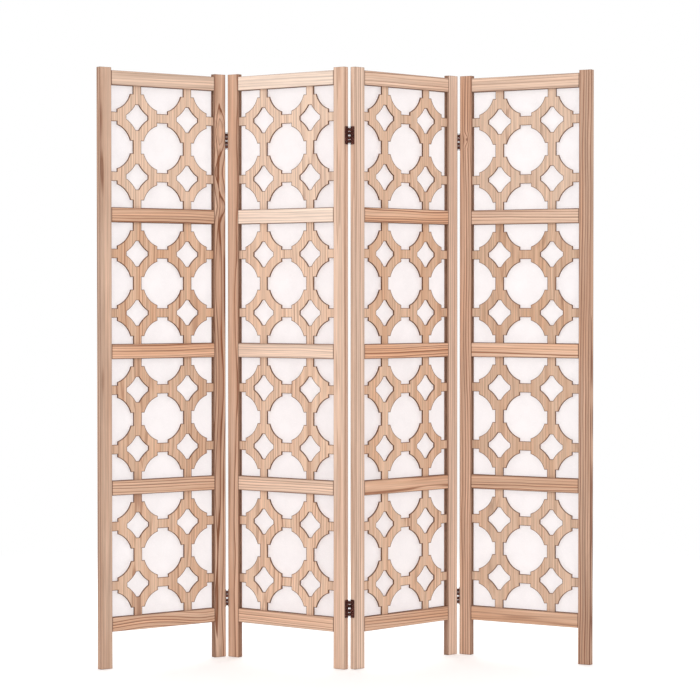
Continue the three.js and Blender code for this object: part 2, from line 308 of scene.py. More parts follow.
def wood(name, light, dark, tint, ring_spacing, ring_strength, wander, roughness,
         half_size=None, end_darkness=0.0, scorched=None):
    """Sawn softwood from the "grain" attribute, whose Z runs along the fibres and whose X and Y
    are measured from the heart of the log. "board" holds each board's tone, warmth and figure.
    With half_size the edges and ends are darkened, the rails' ends with painted shade in their
    seams against the stiles, and the faces that look into the openings get painted shade. scorched
    is the colour beside a burnt cut."""
    shader = Shader(bpy.data.materials.new(name))
    grain = shader.attribute("grain", "Vector")
    tone, warmth, figure = shader.separate(shader.attribute("board", "Vector"))
    to_knot = shader.vector("MULTIPLY", shader.attribute("knot", "Vector"), KNOT_STRETCH)
    knot_distance = shader.vector("LENGTH", to_knot)
    swirl = shader.smooth(knot_distance, SWIRL_RADIUS, 0.0, 0.0, SWIRL_SHIFT)

    line = ring_lines(shader, bent_grain(shader, grain, figure, wander), swirl, ring_spacing)
    strong = shader.math("MULTIPLY_ADD", figure, 0.5 * ring_strength, ring_strength)
    strong = shader.math("MULTIPLY", strong, shader.attribute("lines"))
    line = shader.math("MULTIPLY", line, strong, clamp=True)
    fibres = shader.noise(shader.vector("MULTIPLY", grain, FIBRE_SCALE), 3.0, 0.6)[0]
    streaks = shader.noise(shader.vector("MULTIPLY", grain, STREAK_SCALE))[0]
    patches = shader.noise(shader.vector("MULTIPLY", grain, PATCH_SCALE))[0]

    color = shader.mix(line, light, dark)
    patch_share = shader.smooth(patches, 0.35, 0.7, 0.0, 0.6)
    warm_share = shader.math("ADD", patch_share, warmth, clamp=True)
    color = shader.mix(warm_share, color, tint, "MULTIPLY")
    pale_share = shader.math("MULTIPLY", warmth, -0.7, clamp=True)
    color = shader.mix(pale_share, color, PALE_WOOD)
    knot_share = shader.smooth(knot_distance, KNOT_RADIUS, KNOT_CORE, 0.0, 0.75)
    color = shader.mix(knot_share, color, KNOT_WOOD)

    brightness = shader.math("MULTIPLY_ADD", fibres, 0.36, 0.82)
    brightness = shader.math("ADD", brightness, tone)
    brightness = shader.math("MULTIPLY_ADD", streaks, 0.8, shader.math("SUBTRACT", brightness, 0.4))
    level = shader.node("ShaderNodeCombineColor", {0: brightness, 1: brightness, 2: brightness})
    color = shader.mix(1.0, color, level.outputs[0], "MULTIPLY")
    if half_size:
        color = darkened_edges_and_painted_shade(shader, color, half_size, end_darkness)
    if scorched:
        browning = shader.math("MULTIPLY_ADD", fibres, 0.4, 0.75)
        scorch = shader.smooth(shader.attribute("scorch"), 0.1, 0.6)
        color = shader.mix(shader.math("MULTIPLY", scorch, browning, clamp=True), color, scorched)

    bump = shader.bump(shader.math("MULTIPLY_ADD", line, 0.4, fibres), 0.35, 0.00025)
    rough = shader.math("MULTIPLY_ADD", fibres, 0.16, roughness - 0.08)
    return shader.finish(shader.principled(color, rough, bump, specular=0.32))


def scorched_edge():
    """The cut edge of the lattice plywood: burnt brown, with its plies just showing."""
    shader = Shader(bpy.data.materials.new("scorched_edge"))
    grain = shader.attribute("grain", "Vector")
    plies = shader.math("SINE", shader.math("MULTIPLY", shader.attribute("depth"), PLIES * 2 * math.pi))
    soot = shader.noise(shader.vector("MULTIPLY", grain, (130, 130, 130)), detail=4.0)[0]
    share = shader.math("MULTIPLY_ADD", plies, 0.14, soot)
    color = shader.ramp(share, [(0.25, linear(62, 38, 27)), (0.75, linear(128, 88, 62))])
    return shader.finish(shader.principled(color, 0.85, shader.bump(soot, 0.3, 0.0003)))


def backing_paper():
    """Matt white sheet that lets some light through, with pale fibres in it."""
    shader = Shader(bpy.data.materials.new("backing_paper"))
    place = shader.object_place()
    cloud = shader.noise(place, detail=5.0, roughness=0.65, scale=26.0)[0]
    warp = shader.vector("MULTIPLY", shader.noise(place, scale=40.0)["Color"], (0.03, 0.03, 0.03))
    strands = shader.node("ShaderNodeTexWave", {
        "Vector": shader.vector("ADD", place, warp), "Scale": 60.0, "Distortion": 9.0,
        "Detail": 3.0, "Detail Scale": 2.5}, bands_direction="DIAGONAL")
    strands = shader.smooth(strands.outputs["Fac"], 0.9, 1.0)
    share = shader.math("MULTIPLY_ADD", strands, 0.35, cloud, clamp=True)
    color = shader.ramp(share, [(0.3, linear(240, 237, 237)), (0.75, linear(245, 242, 242))])
    bump = shader.bump(shader.math("ADD", cloud, strands), 0.2, 0.0002)
    front = shader.principled(color, 0.82, bump, specular=0.2)
    through = shader.node("ShaderNodeBsdfTranslucent", {"Color": color, "Normal": bump})
    return shader.finish(shader.mix_surfaces(0.72, front, through.outputs[0]))


def bronzed_steel():
    """Dark bronze lacquer on stamped steel, dark and light in patches: the lightest patches are painted
    glints.
    """
    shader = Shader(bpy.data.materials.new("bronzed_steel"))
    mottle_and_glints = shader.noise(shader.object_place(), detail=4.0, roughness=0.6, scale=380.0)[0]
    # The lightest stop is a painted highlight: glints on the lacquer.
    color = shader.ramp(mottle_and_glints, [
        (0.42, linear(22, 7, 4)), (0.52, linear(66, 27, 21)), (0.63, linear(148, 92, 78))])
    rough = shader.smooth(mottle_and_glints, 0.3, 0.8, 0.6, 0.4)
    bump = shader.bump(mottle_and_glints, 0.25, 0.0001)
    return shader.finish(shader.principled(color, rough, bump, specular=0.3, metallic=0.1))


def half_metres(*sizes):
    """Half of each size, from millimetres to metres."""
    return tuple(size / 2 * MM for size in sizes)


STILE_WOOD = wood(
    "pine_stile", linear(217, 184, 161), linear(138, 92, 66), linear(242, 224, 212),
    ring_spacing=0.0080, ring_strength=0.9, wander=0.010, roughness=0.6,
    half_size=half_metres(STILE_WIDTH, FRAME_THICKNESS, PANEL_HEIGHT), end_darkness=0.25)
# The rails' strong end darkening is painted shade in their seams against the stiles.
RAIL_WOOD = wood(
    "pine_rail", linear(220, 184, 158), linear(140, 92, 64), linear(244, 224, 208),
    ring_spacing=0.0080, ring_strength=0.9, wander=0.009, roughness=0.6,
    half_size=half_metres(RAIL_HEIGHT, FRAME_THICKNESS, CELL_SIZE - 2 * GAP), end_darkness=0.8)
LATTICE_WOOD = wood(
    "lattice_plywood", linear(217, 182, 155), linear(150, 98, 68), linear(244, 226, 210),
    ring_spacing=0.0068, ring_strength=0.85, wander=0.016, roughness=0.66,
    scorched=linear(98, 62, 42))
SCORCHED_EDGE = scorched_edge()
PAPER = backing_paper()
STEEL = bronzed_steel()


# ---- outlines ----

def arc(centre, radius, start, end, steps):
    angles = [start + (end - start) * step / steps for step in range(steps + 1)]
    return [centre + radius * Vector((math.cos(angle), math.sin(angle))) for angle in angles]


def turned(x, y, quarter):
    """(x, y) turned by a number of quarter turns."""
    for _ in range(quarter):
        x, y = -y, x
    return Vector((x, y))


def circle(centre, radius, sides):
    return arc(centre, radius, 0, 2 * math.pi * (sides - 1) / sides, sides - 1)


def grown(points, distance):
    """A closed outline, turning left, moved outwards by a distance."""
    result = []
    count = len(points)
    for i, point in enumerate(points):
        before = (point - points[i - 1]).normalized()
        after = (points[(i + 1) % count] - point).normalized()
        normal_before = Vector((before.y, -before.x))
        normal_after = Vector((after.y, -after.x))
        middle = (normal_before + normal_after).normalized()
        stretch = max(middle.dot(normal_after), 0.5)
        result.append(point + middle * distance / stretch)
    return result


def clipped(points, limit):
    """The part of an outline inside a square of that half size."""
    for axis, sign in itertools.product((0, 1), (-1, 1)):
        kept = []
        for first, second in zip(points, points[1:] + points[:1]):
            reach_first, reach_second = sign * first[axis], sign * second[axis]
            if reach_first <= limit:
                kept.append(first)
            if (reach_first - limit) * (reach_second - limit) < 0:
                share = (limit - reach_first) / (reach_second - reach_first)
                kept.append(first.lerp(second, share))
        points = kept
    return points


# ---- mesh helpers ----

def scaled_mesh(bm, name, offset=(0, 0, 0)):
    """Turns millimetres into metres and ends the bmesh."""
    bmesh.ops.recalc_face_normals(bm, faces=bm.faces)
    move = Vector(offset)
    for vertex in bm.verts:
        vertex.co = (vertex.co + move) * MM
    mesh = bpy.data.meshes.new(name)
    bm.to_mesh(mesh)
    bm.free()
    mesh.shade_smooth()
    mesh.set_sharp_from_angle(angle=math.radians(SMOOTH_ANGLE))
    return mesh


def grid_solid(xs, ys, zs, filled):
    """The closed surface of those cells of a grid for which filled(i, j, k) holds."""
    bm = bmesh.new()
    corners = {}
    shape = (len(xs) - 1, len(ys) - 1, len(zs) - 1)

    def corner(i, j, k):
        if (i, j, k) not in corners:
            corners[i, j, k] = bm.verts.new((xs[i], ys[j], zs[k]))
        return corners[i, j, k]

    def solid(cell):
        inside = all(0 <= place < count for place, count in zip(cell, shape))
        return inside and filled(*cell)

    for cell in itertools.product(*(range(count) for count in shape)):
        if not solid(cell):
            continue
        for axis, side in itertools.product(range(3), (0, 1)):
            neighbour = list(cell)
            neighbour[axis] += 2 * side - 1
            if solid(neighbour):
                continue
            loop = []
            for across, up in ((0, 0), (1, 0), (1, 1), (0, 1)):
                point = list(cell)
                point[axis] += side
                point[(axis + 1) % 3] += across
                point[(axis + 2) % 3] += up
                loop.append(corner(*point))
            bm.faces.new(loop if side else loop[::-1])
    bmesh.ops.dissolve_limit(bm, angle_limit=0.01, verts=bm.verts, edges=bm.edges)
    return bm


def ease_edges(bm, radius):
    sharp = [edge for edge in bm.edges if edge.is_convex and edge.calc_face_angle(0) > 1]
    bmesh.ops.bevel(
        bm, geom=sharp, offset=radius, offset_type="OFFSET", segments=EDGE_SEGMENTS, profile=0.5,
        affect="EDGES", clamp_overlap=True)


def ring(bm, points, height, place):
    """New vertices along an outline. place turns (x, y, height) into a point."""
    return [bm.verts.new(place(point.x, point.y, height)) for point in points]


def bridge(bm, first, second):
    """Faces between two closed rings of vertices."""
    for i in range(len(first)):
        j = (i + 1) % len(first)
        bm.faces.new((first[i], first[j], second[j], second[i]))


def loop_edges(bm, vertices):
    """The edges of a closed ring of vertices, made where they are missing."""
    return [
        bm.edges.get(ends) or bm.edges.new(ends) for ends in zip(vertices, vertices[1:] + vertices[:1])]


def pierced_plate(bm, outer, holes, low, high, rim, place):
    """A plate between two depths, with holes that each have a narrow rim on both faces. place
    turns (across, up, depth) into a point. Returns the vertices on the holes' edges."""
    outer_rings = [ring(bm, outer, depth, place) for depth in (low, high)]
    bridge(bm, *outer_rings)
    face_edges = [loop_edges(bm, vertices) for vertices in outer_rings]
    edge_vertices = set()
    for hole in holes:
        wide = grown(hole, rim)
        sides = []
        for depth, edges in zip((low, high), face_edges):
            edge = ring(bm, hole, depth, place)
            lip = ring(bm, wide, depth, place)
            bridge(bm, edge, lip)
            edges += loop_edges(bm, lip)
            edge_vertices.update(edge)
            sides.append(edge)
        bridge(bm, *sides)
    for edges in face_edges:
        bmesh.ops.triangle_fill(bm, use_beauty=True, use_dissolve=False, edges=edges)
    return edge_vertices


def lathe(bm, profile, sides, place):
    """A closed solid turned about the up axis from (radius, height) points. A radius of 0 closes
    it. place turns (x, y, z) into a point."""
    rings = []
    for radius, height in profile:
        if radius == 0:
            rings.append([bm.verts.new(place(0, 0, height))])
            continue
        angles = [2 * math.pi * step / sides for step in range(sides)]
        rings.append([
            bm.verts.new(place(radius * math.cos(a), radius * math.sin(a), height)) for a in angles])
    for first, second in zip(rings, rings[1:]):
        for i in range(sides):
            j = (i + 1) % sides
            corners = [first[i % len(first)], first[j % len(first)],
                       second[j % len(second)], second[i % len(second)]]
            unique = list(dict.fromkeys(corners))
            if len(unique) > 2:
                bm.faces.new(unique)


def add_piece(name, mesh, number, materials, slot, *replaced, baked=False):
    """Puts a finished mesh on its panel, in place of its CAD nodes. baked moves the points
    themselves, so that the piece's own box is upright in the room."""
    for material in materials:
        mesh.materials.append(material)
    piece = bpy.data.objects.new(name, mesh)
    SCENE.collection.objects.link(piece)
    if baked:
        mesh.transform(PLACES[number])
    else:
        piece.matrix_world = PLACES[number]
    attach(piece, f"panel_{number}")
    if replaced:
        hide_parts(*replaced)
    return piece


def even_shading(piece):
    """Keeps the flats flat between eased edges."""
    piece.modifiers.new("even shading", "WEIGHTED_NORMAL").keep_sharp = True


# ---- boards ----

# Each board's tone, warmth and figure: how light it is, how warm, from -1, pale cream, to 1,
# reddish, and how far its grain wanders. Boards that aren't listed draw theirs at random.
BOARD_TONES = {
    (1, "left_stile"): (-0.155, 0.1, 0.2),
    (1, "right_stile"): (-0.065, 0.15, -0.3),
    (1, "top_rail"): (-0.13, -0.3, 0.1),
    (1, "bottom_rail"): (-0.01, 0.0, -0.1),
    (1, "upper_rail"): (-0.04, 0.4, 0.6),
    (1, "middle_rail"): (0.085, 0.4, 0.3),
    (2, "left_stile"): (0.05, 0.15, 0.2),
    (2, "right_stile"): (0.055, -0.1, 0.1),
    (2, "bottom_rail"): (0.08, -0.1, 0.3),
    (2, "lower_rail"): (0.08, -0.3, 0.3),
    (2, "middle_rail"): (0.1, -0.5, 0.6),
    (2, "upper_rail"): (0.09, -0.9, 0.5),
    (2, "top_rail"): (0.03, -0.9, 0.2),
    (3, "left_stile"): (0.0, -0.2, 0.1),
    (3, "right_stile"): (0.04, -0.25, 0.1),
    (3, "bottom_rail"): (-0.005, 0.2, 0.1),
    (3, "lower_rail"): (0.065, 0.1, 0.5),
    (3, "middle_rail"): (0.115, 0.3, 0.9),
    (3, "upper_rail"): (0.085, 0.3, 0.7),
    (3, "top_rail"): (0.01, -0.2, 0.3),
    (4, "left_stile"): (-0.01, 0.3, 0.4),
    (4, "right_stile"): (-0.16, 0.4, 0.4),
    (4, "top_rail"): (-0.02, -0.3, 0.3),
    (4, "upper_rail"): (0.015, -0.2, 0.4),
    (4, "middle_rail"): (0.12, 0.0, 0.5),
    (4, "lower_rail"): (-0.05, 0.3, 0.5),
    (4, "bottom_rail"): (-0.09, 0.1, 0.3),
}

# What sets the rings of single boards apart. lines is how dark their lines are. In a flat-sawn
# board the heart of the log is behind the face, at heart_depth in metres from the board's middle.
# bumps bend the rings, as bend says, and knot is a knot's place, in metres from the middle.
BOARD_RINGS = {
    (1, "right_stile"): {
        "lines": 2.0, "flat_sawn": True, "heart_depth": 0.029,
        "bumps": [(683, 50, 0, -17), (566, 34, 10, -4), (466, 30, -10, -5), (250, 150, 5, -8),
                  (-50, 160, -6, -5), (-350, 170, 6, -7), (-700, 120, 9, -5)]},
    (1, "bottom_rail"): {
        "lines": 2.0, "flat_sawn": False, "bumps": [(-50, 110, -10, 0), (130, 60, 6, 0)]},
    (1, "top_rail"): {"lines": 0.5},
    (2, "upper_rail"): {"lines": 2.0},
    (2, "top_rail"): {"lines": 2.2},
    (4, "left_stile"): {"knot": Vector((0.004, -0.009, 0.664))},
    (4, "middle_rail"): {"lines": 0.8, "flat_sawn": False},
}
NO_KNOT = Vector((1, 0, 1))  # a place far from any board
FLAT_SAWN_SHARE = 0.25
# The painted shade on the faces that look into the openings:
INNER_SHADE_FRONT = 0.55  # at the front, and what the depth of the lattice adds
INNER_SHADE_GAIN = 0.45


def bend(along, bumps):
    """How far the growth rings shift across the face and rise under it at a place along the
    board. Each bump is (place, spread, shift, rise)."""
    total = Vector((0, 0, 0))
    for place, spread, shift, rise in bumps:
        total += Vector((shift, rise, 0)) * math.exp(-((along - place) / spread) ** 2)
    return total


def board_look(number, name):
    """The look of one board: the same on every run."""
    draw = random.Random(f"{number} {name}")
    look = {
        "tone": draw.uniform(-0.03, 0.03),
        "warmth": draw.uniform(-0.1, 0.3),
        "figure": draw.uniform(0.0, 0.5),
        "flat_sawn": draw.random() < FLAT_SAWN_SHARE,
        "bumps": [],
        "knot": None,
        "lines": 1.3,
    }
    heart_across = draw.uniform(0.06, 0.13) * draw.choice((-1, 1))
    heart_behind = draw.uniform(-0.03, 0.03)
    slant = draw.uniform(-0.012, 0.012)
    along = draw.uniform(0, 40)
    if (number, name) in BOARD_TONES:
        look.update(zip(("tone", "warmth", "figure"), BOARD_TONES[number, name]))
    look.update(BOARD_RINGS.get((number, name), {}))
    if look["flat_sawn"]:
        heart_across, heart_behind = heart_behind / 5, look.get("heart_depth", abs(heart_across))
        slant /= 3
    look["heart"] = Vector((heart_across, heart_behind, along))
    look["slant"] = slant
    return look


def write_attribute(mesh, name, values):
    """One value for each vertex: numbers or vectors."""
    if isinstance(values[0], float):
        made = mesh.attributes.new(name, "FLOAT", "POINT")
        made.data.foreach_set("value", values)
    else:
        made = mesh.attributes.new(name, "FLOAT_VECTOR", "POINT")
        made.data.foreach_set("vector", [number for value in values for number in value])


def shade_inner(mesh, axis, faces):
    """Marks the faces that look into the openings for painted shade, darker towards the back.
    faces holds where they lie along the axis, in millimetres."""
    values = []
    for vertex in mesh.vertices:
        distance = min(abs(vertex.co[axis] / MM - face) for face in faces)
        depth = min(max(vertex.co.y / MM / LATTICE_SETBACK, 0), 1)
        shade = INNER_SHADE_FRONT + INNER_SHADE_GAIN * depth
        values.append(shade if distance < EDGE_RADIUS / 4 else 0.0)
    write_attribute(mesh, "inner", values)


def paint_board(mesh, look, middle, lengthwise):
    """Writes the attributes that the wood reads. lengthwise is the axis of the fibres, and middle
    the board's centre in metres."""
    grains, knots, places = [], [], []
    for vertex in mesh.vertices:
        offset = vertex.co - middle
        if lengthwise == "X":
            offset = Vector((offset.z, offset.y, offset.x))
        slanted = offset + Vector((offset.z * look["slant"], offset.z * look["slant"] / 3, 0))
        slanted += bend(offset.z / MM, look["bumps"]) * MM
        places.append(offset)
        grains.append(slanted + look["heart"])
        knots.append(offset - look["knot"] if look["knot"] else NO_KNOT)
    write_attribute(mesh, "grain", grains)
    write_attribute(mesh, "board", [(look["tone"], look["warmth"], look["figure"])] * len(grains))
    write_attribute(mesh, "knot", knots)
    write_attribute(mesh, "place", places)
    write_attribute(mesh, "lines", [look["lines"]] * len(grains))


def cut_across(bm, axis, low, high):
    """Plane cuts across a board, so that attributes can change along it."""
    normal = Vector((0, 0, 0))
    normal[axis] = 1
    count = round((high - low) / FIGURE_STEP)
    for step in range(1, count):
        place = normal * (low + (high - low) * step / count)
        geometry = bm.verts[:] + bm.edges[:] + bm.faces[:]
        bmesh.ops.bisect_plane(bm, geom=geometry, plane_co=place, plane_no=normal)


def stile(number, name, left_side):
    """A stile with its stopped groove on the inner edge."""
    if left_side:
        xs = [0, STILE_WIDTH - GROOVE_DEPTH, STILE_WIDTH]
        x = 0
    else:
        xs = [0, GROOVE_DEPTH, STILE_WIDTH]
        x = PANEL_WIDTH - STILE_WIDTH
    grooved_column = 1 if left_side else 0
    ys = [0, GROOVE_START, GROOVE_END, FRAME_THICKNESS]
    zs = [0, BOTTOM_RAIL_Z + GROOVE_DEPTH, TOP_RAIL_TOP - GROOVE_DEPTH, PANEL_HEIGHT]
    bm = grid_solid(xs, ys, zs, lambda i, j, k: not (i == grooved_column and j == 1 and k == 1))
    ease_edges(bm, EDGE_RADIUS)
    cut_across(bm, 2, 0, PANEL_HEIGHT)
    full_name = f"panel_{number}_{name}"
    mesh = scaled_mesh(bm, full_name, (x, 0, 0))
    middle = Vector((x + STILE_WIDTH / 2, FRAME_THICKNESS / 2, PANEL_HEIGHT / 2)) * MM
    paint_board(mesh, board_look(number, name), middle, "Z")
    inner_edge = STILE_WIDTH if left_side else PANEL_WIDTH - STILE_WIDTH
    shade_inner(mesh, 0, [inner_edge])
    piece = add_piece(f"{full_name}_board", mesh, number, [STILE_WOOD], "pine_stile", full_name)
    even_shading(piece)


def rail(number, level):
    """A rail with its grooves and its two stub tenons."""
    groove_below = level > 0
    groove_above = level < CELLS_PER_PANEL
    xs = [GAP - GROOVE_DEPTH, GAP, CELL_SIZE - GAP, CELL_SIZE + GROOVE_DEPTH - GAP]
    ys = [0, GROOVE_START, LATTICE_SETBACK, LATTICE_SETBACK + LATTICE_THICKNESS, GROOVE_END,
          FRAME_THICKNESS]
    zs = [0, GROOVE_DEPTH, GROOVE_DEPTH + GAP, RAIL_HEIGHT - GROOVE_DEPTH - GAP,
          RAIL_HEIGHT - GROOVE_DEPTH, RAIL_HEIGHT]

    def filled(i, j, k):
        if i != 1:
            return j == 2 and k == 2
        in_groove = j in (1, 2, 3) and (k == 0 and groove_below or k == 4 and groove_above)
        return not in_groove

    bm = grid_solid(xs, ys, zs, filled)
    ease_edges(bm, EDGE_RADIUS)
    cut_across(bm, 0, 0, CELL_SIZE)
    name = RAILS[level]
    full_name = f"panel_{number}_{name}"
    z = BOTTOM_RAIL_Z + level * RAIL_PITCH
    mesh = scaled_mesh(bm, full_name, (STILE_WIDTH, 0, z))
    middle = Vector((PANEL_WIDTH / 2, FRAME_THICKNESS / 2, z + RAIL_HEIGHT / 2)) * MM
    paint_board(mesh, board_look(number, name), middle, "X")
    shade_inner(mesh, 2, [z] * groove_below + [z + RAIL_HEIGHT] * groove_above)
    piece = add_piece(f"{full_name}_board", mesh, number, [RAIL_WOOD], "pine_rail", full_name)
    even_shading(piece)


# ---- lattice ----

def notched_circle(centre):
    half = math.asin(NOTCH_HALF_WIDTH / CIRCLE_RADIUS)
    points = []
    for side in range(4):
        axis = side * math.pi / 2
        points.append(centre + turned(NOTCH_REACH, -NOTCH_HALF_WIDTH, side))
        points.append(centre + turned(NOTCH_REACH, NOTCH_HALF_WIDTH, side))
        points += arc(
            centre, CIRCLE_RADIUS, axis + half, axis + math.pi / 2 - half, CIRCLE_ARC_STEPS)
    return points


def star_opening(centre):
    """Four inward arcs joined by short flats."""
    offset = CIRCLE_PITCH / 2
    start = math.acos((offset - STAR_REACH) / RING_OUTER_RADIUS)
    points = []
    for side in range(4):
        towards = side * math.pi / 2 + math.pi
        ring_centre = centre + turned(offset, offset, side)
        points += arc(
            ring_centre, RING_OUTER_RADIUS, towards + start, towards + math.pi / 2 - start,
            STAR_ARC_STEPS)
    return points


def lattice_holes():
    clear = CELL_SIZE / 2 - LATTICE_RIM
    holes = []
    for column, row in itertools.product((-1, 0, 1), repeat=2):
        centre = Vector((column, row)) * CIRCLE_PITCH
        holes.append(clipped(notched_circle(centre), clear))
    for column, row in itertools.product((-0.5, 0.5), repeat=2):
        holes.append(star_opening(Vector((column, row)) * CIRCLE_PITCH))
    return holes


HOLES = lattice_holes()

# What each panel's four lattice sheets have in common, as for a board. A top sheet is painted
# cooler and paler: painted light from above.
SHEET_TONES = {1: -0.03, 2: 0.07, 3: 0.0, 4: -0.09}
SHEET_WARMTHS = {1: -0.05, 2: -0.2, 3: -0.1, 4: -0.1}
SHEET_LINES = {1: 0.9, 2: 1.2, 3: 0.7, 4: 0.6}
TOP_SHEET_PAINTED_LIGHT = 0.15
SHEET_HEART_DEPTH = 0.16  # in metres


def lattice(number, cell):
    half = CELL_SIZE / 2 + GROOVE_DEPTH - GAP
    outer = [Vector((-half, -half)), Vector((half, -half)), Vector((half, half)), Vector((-half, half))]
    low = LATTICE_SETBACK
    high = LATTICE_SETBACK + LATTICE_THICKNESS
    bm = bmesh.new()
    cut_edge = pierced_plate(
        bm, outer, HOLES, low, high, SCORCH_WIDTH, lambda x, z, y: (x, y, z))
    bm.verts.index_update()
    scorched_vertices = {vertex.index for vertex in cut_edge}
    for face in bm.faces:
        if all(vertex in cut_edge for vertex in face.verts):
            face.material_index = 1
    name = f"lattice_{cell + 1}"
    full_name = f"panel_{number}_{name}"
    centre_z = BOTTOM_RAIL_Z + RAIL_HEIGHT + cell * RAIL_PITCH + CELL_SIZE / 2
    mesh = scaled_mesh(bm, full_name, (PANEL_WIDTH / 2, 0, centre_z))
    middle = Vector((PANEL_WIDTH / 2, (low + high) / 2, centre_z)) * MM
    look = board_look(number, name)
    look["heart"].y += SHEET_HEART_DEPTH
    look["tone"] += SHEET_TONES[number]
    look["warmth"] = look["warmth"] / 2 + SHEET_WARMTHS[number]
    look["lines"] = SHEET_LINES[number]
    # Painted light: the top sheet is made cooler and paler, as light from above falls on it.
    if cell == CELLS_PER_PANEL - 1:
        look["warmth"] -= TOP_SHEET_PAINTED_LIGHT
    paint_board(mesh, look, middle, "Z")
    scorch = [float(i in scorched_vertices) for i in range(len(mesh.vertices))]
    write_attribute(mesh, "scorch", scorch)
    depths = [(vertex.co.y / MM - low) / LATTICE_THICKNESS for vertex in mesh.vertices]
    write_attribute(mesh, "depth", depths)
    add_piece(
        f"{full_name}_sheet", mesh, number, [LATTICE_WOOD, SCORCHED_EDGE], "lattice_plywood",
        full_name)


# ---- backing sheet ----

SHEET_COLUMNS = 30
SHEET_ROWS = 120
SHEET_RELIEF = 0.07
WAVE_COUNT = 4
WAVES_ACROSS = (0.01, 0.03)  # in radians for each millimetre
WAVES_ALONG = (0.006, 0.02)
WAVE_STARTS = (0, 6.28)
FREE_ACROSS = 6  # the sheet is free from a sixth of its width inwards
FREE_ALONG = 24  # and from a twenty-fourth of its height
STAPLE_CROWN = 10
STAPLE_WIRE = 0.7
STAPLE_BEND = 0.5
STAPLE_GRIP = 2
STAPLE_SIDES = 6
STAPLE_SPACING = 96
STAPLE_INSET = 7


def sheet_edges():
    low = Vector((STILE_WIDTH - BACKING_LAP, BOTTOM_RAIL_Z + RAIL_HEIGHT - BACKING_LAP))
    high = Vector((STILE_WIDTH + CELL_SIZE + BACKING_LAP, TOP_RAIL_TOP - RAIL_HEIGHT + BACKING_LAP))
    return low, high


def backing_sheet(number):
    """A thin sheet, drawn tight but for a faint unevenness between its staples."""
    low, high = sheet_edges()
    draw = random.Random(f"sheet {number}")
    waves = [
        (draw.uniform(*WAVES_ACROSS), draw.uniform(*WAVES_ALONG), draw.uniform(*WAVE_STARTS))
        for _ in range(WAVE_COUNT)]
    bm = bmesh.new()
    front, back = [], []
    base = FRAME_THICKNESS + GAP
    for row in range(SHEET_ROWS + 1):
        for column in range(SHEET_COLUMNS + 1):
            u, v = column / SHEET_COLUMNS, row / SHEET_ROWS
            x = low.x + (high.x - low.x) * u
            z = low.y + (high.y - low.y) * v
            free = min(1, FREE_ACROSS * min(u, 1 - u)) * min(1, FREE_ALONG * min(v, 1 - v))
            relief = sum(math.sin(a * x + b * z + c) for a, b, c in waves) / len(waves)
            y = base + SHEET_RELIEF * (1 + free * relief)
            front.append(bm.verts.new((x, y, z)))
            back.append(bm.verts.new((x, y + BACKING_THICKNESS - 2 * SHEET_RELIEF, z)))
    width = SHEET_COLUMNS + 1
    for row, column in itertools.product(range(SHEET_ROWS), range(SHEET_COLUMNS)):
        corner = row * width + column
        quad = (corner, corner + 1, corner + width + 1, corner + width)
        bm.faces.new([front[i] for i in quad])
        bm.faces.new([back[i] for i in reversed(quad)])
    rim = list(range(SHEET_COLUMNS))
    rim += [SHEET_COLUMNS + row * width for row in range(SHEET_ROWS)]
    rim += [SHEET_ROWS * width + column for column in range(SHEET_COLUMNS, 0, -1)]
    rim += [row * width for row in range(SHEET_ROWS, 0, -1)]
    for first, second in zip(rim, rim[1:] + rim[:1]):
        bm.faces.new((front[first], back[first], back[second], front[second]))
    full_name = f"panel_{number}_backing_sheet"
    mesh = scaled_mesh(bm, full_name)
    piece = add_piece(f"{full_name}_paper", mesh, number, [PAPER], "backing_paper", full_name)


def staple(bm, x, z, upright):
    """One staple's crown with its two legs, pressed into the back of the sheet."""
    top = FRAME_THICKNESS + GAP + BACKING_THICKNESS + STAPLE_WIRE / 2
    half = STAPLE_CROWN / 2
    leg_end = FRAME_THICKNESS - STAPLE_GRIP
    path = [(-half, leg_end), (-half, top - STAPLE_BEND), (-half + STAPLE_BEND, top),
            (half - STAPLE_BEND, top), (half, top - STAPLE_BEND), (half, leg_end)]
    sections = []
    for i, (along, depth) in enumerate(path):
        before = Vector(path[max(i - 1, 0)])
        after = Vector(path[min(i + 1, len(path) - 1)])
        run = (after - before).normalized()
        side = Vector((-run.y, run.x))
        section = []
        for step in range(STAPLE_SIDES):
            angle = 2 * math.pi * step / STAPLE_SIDES
            out = side * math.cos(angle) * STAPLE_WIRE / 2
            over = math.sin(angle) * STAPLE_WIRE / 2
            a, y = along + out.x, depth + out.y
            section.append(bm.verts.new((x + over, y, z + a) if upright else (x + a, y, z + over)))
        sections.append(section)
    for first, second in zip(sections, sections[1:]):
        bridge(bm, first, second)
    bm.faces.new(sections[0])
    bm.faces.new(sections[-1])


def staple_places(low, high):
    count = round((high - low) / STAPLE_SPACING)
    return [low + (high - low) * (step + 0.5) / count for step in range(count)]


def staples(number):
    low, high = sheet_edges()
    low += Vector((STAPLE_INSET, STAPLE_INSET))
    high -= Vector((STAPLE_INSET, STAPLE_INSET))
    bm = bmesh.new()
    for x, z in itertools.product(staple_places(low.x, high.x), (low.y, high.y)):
        staple(bm, x, z, upright=False)
    for z, x in itertools.product(staple_places(low.y, high.y), (low.x, high.x)):
        staple(bm, x, z, upright=True)
    mesh = scaled_mesh(bm, f"panel_{number}_staples")
    add_piece(f"panel_{number}_backing_staples", mesh, number, [STEEL], "bronzed_steel")


# ---- hinges ----

